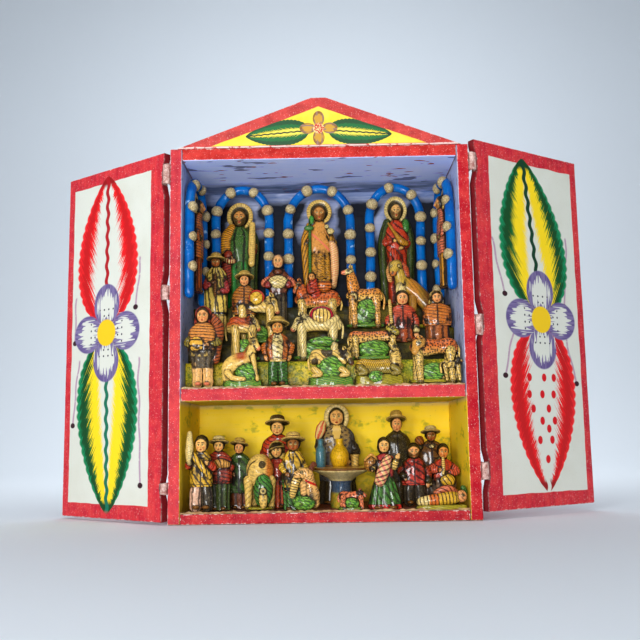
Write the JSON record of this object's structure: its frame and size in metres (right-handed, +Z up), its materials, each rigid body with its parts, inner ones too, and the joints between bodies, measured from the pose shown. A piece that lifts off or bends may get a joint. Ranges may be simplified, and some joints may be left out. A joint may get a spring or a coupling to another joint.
{
  "type": "folding shrine box",
  "caption": "Two-storey painted wooden shrine box with a gable, two folding doors on leather straps, and moulded saints, herders, animals and a village scene inside.",
  "frame": {"origin": "middle of the case's underside", "axes": "+X to the right seen from the front, +Y from the front to the back, +Z up"},
  "size_m": [0.5246, 0.12, 0.3943],
  "materials": {
    "painted_case": "thick matt red distemper with pale worn flecks, yellow or grey inside",
    "painted_back": "matt grey-blue over white ground, yellow in the lower storey",
    "painted_gable": "red border, yellow field, painted leaves and flower",
    "painted_platform": "varnished yellow-green",
    "painted_door": "white panel in a red border, painted leaves, flower and tendrils",
    "strap_leather": "worn, with remains of red and white paint",
    "arch_paste": "glossy blue enamel with stippled gold beads",
    "figure_paste": "painted in bright colours, varnished",
    "animal_paste": "painted cream, brown and spotted, varnished",
    "table_paste": "painted, varnished"
  },
  "bodies": {
    "case": {"left_wall": "painted_case", "right_wall": "painted_case", "top_board": "painted_case", "shelf": "painted_case", "floor_board": "painted_case", "back_board": "painted_back", "pediment": "painted_gable", "stepped_platform": "painted_platform", "left_strap_top": "strap_leather", "left_strap_middle": "strap_leather", "left_strap_bottom": "strap_leather", "right_strap_top": "strap_leather", "right_strap_middle": "strap_leather", "right_strap_bottom": "strap_leather", "left_arch": "arch_paste", "middle_arch": "arch_paste", "right_arch": "arch_paste", "left_side_arch": "arch_paste", "right_side_arch": "arch_paste", "left_saint": "figure_paste", "middle_saint": "figure_paste", "right_saint": "figure_paste", "left_side_saint": "figure_paste", "right_side_saint": "figure_paste", "bread_woman": "figure_paste", "vest_man": "figure_paste", "staff_man": "figure_paste", "shawl_woman": "figure_paste", "flute_player": "figure_paste", "box_bearer": "figure_paste", "corn_bearer": "figure_paste", "bundle_woman": "figure_paste", "green_cloak_woman": "figure_paste", "back_row_woman": "figure_paste", "cream_hat_woman": "figure_paste", "poncho_man": "figure_paste", "table_woman": "figure_paste", "straw_hat_man": "figure_paste", "skirt_woman": "figure_paste", "red_jacket_man": "figure_paste", "drum_player": "figure_paste", "pipe_player": "figure_paste", "reclining_figure": "figure_paste", "resting_donkey": "animal_paste", "pied_cow": "animal_paste", "resting_llama": "animal_paste", "ewe_and_lamb": "animal_paste", "brown_cow": "animal_paste", "saddled_donkey": "animal_paste", "spotted_cat": "animal_paste", "muleteer_and_mule": "animal_paste", "cow_rider": "animal_paste", "tall_llama": "animal_paste", "hound": "animal_paste", "cow_and_lamb": "animal_paste", "sitting_dog": "animal_paste", "piglet": "animal_paste", "table": "table_paste"},
    "left_door": {"left_door": "painted_door"},
    "right_door": {"right_door": "painted_door"}
  },
  "joints": [
    {"name": "left_hinge", "type": "hinge", "parent": "case", "child": "left_door", "pos_m": [-0.14465, -0.06, 0.173], "axis": [0, 0, 1], "range_deg": [0, 216.1]},
    {"name": "right_hinge", "type": "hinge", "parent": "case", "child": "right_door", "pos_m": [0.14465, -0.06, 0.173], "axis": [0, 0, 1], "range_deg": [-213.9, 0]}
  ]
}
